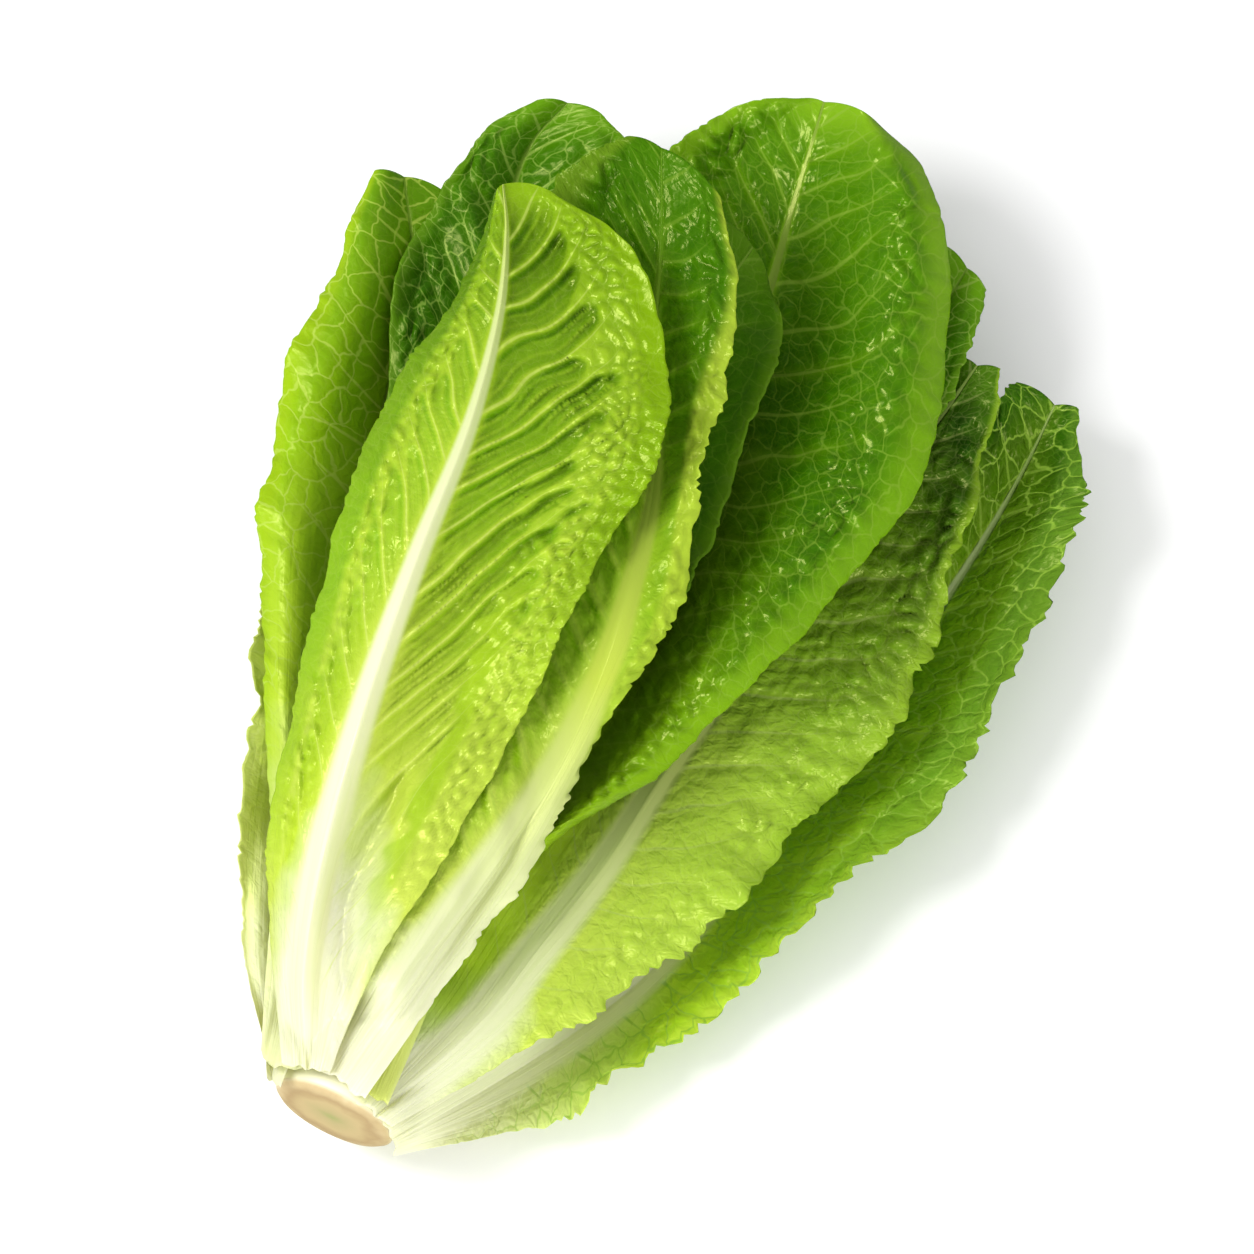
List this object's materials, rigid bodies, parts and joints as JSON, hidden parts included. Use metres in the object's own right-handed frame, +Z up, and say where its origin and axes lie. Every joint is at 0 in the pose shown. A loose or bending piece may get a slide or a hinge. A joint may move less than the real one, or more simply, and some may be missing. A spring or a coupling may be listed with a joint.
{
  "type": "romaine lettuce head",
  "caption": "Cut head of romaine lettuce lying on its side, long upright leaves with pale ribs and toothed margins fanned from a short cut stem.",
  "frame": {"origin": "on the table, under the middle of the head's bounding box", "axes": "+Z up from the table, +Y from the cut stem to the leaf tips, +X across the head"},
  "size_m": [0.2194, 0.3198, 0.0967],
  "materials": {
    "leaf_light": "satin waxy leaf, yellow-green with a white rib",
    "leaf_green": "satin waxy leaf, mid green with a pale rib",
    "leaf_dark": "glossy blistered leaf, dark green with pale veins",
    "leaf_heart": "satin young leaf, pale yellow-green",
    "stem_cut": "damp cut stem, cream to tan"
  },
  "bodies": {
    "root": {"stem_core": "stem_cut", "under_leaf": "leaf_dark", "under_left_leaf": "leaf_green", "outer_right_leaf": "leaf_dark", "outer_left_leaf": "leaf_green", "ruffled_leaf": "leaf_green", "behind_leaf": "leaf_dark", "left_leaf": "leaf_green", "back_left_leaf": "leaf_dark", "great_leaf": "leaf_dark", "folded_leaf": "leaf_dark", "heart_leaf_1": "leaf_heart", "heart_leaf_2": "leaf_heart", "heart_leaf_3": "leaf_heart", "heart_leaf_4": "leaf_heart", "second_leaf": "leaf_light", "front_leaf": "leaf_light"}
  },
  "joints": []
}
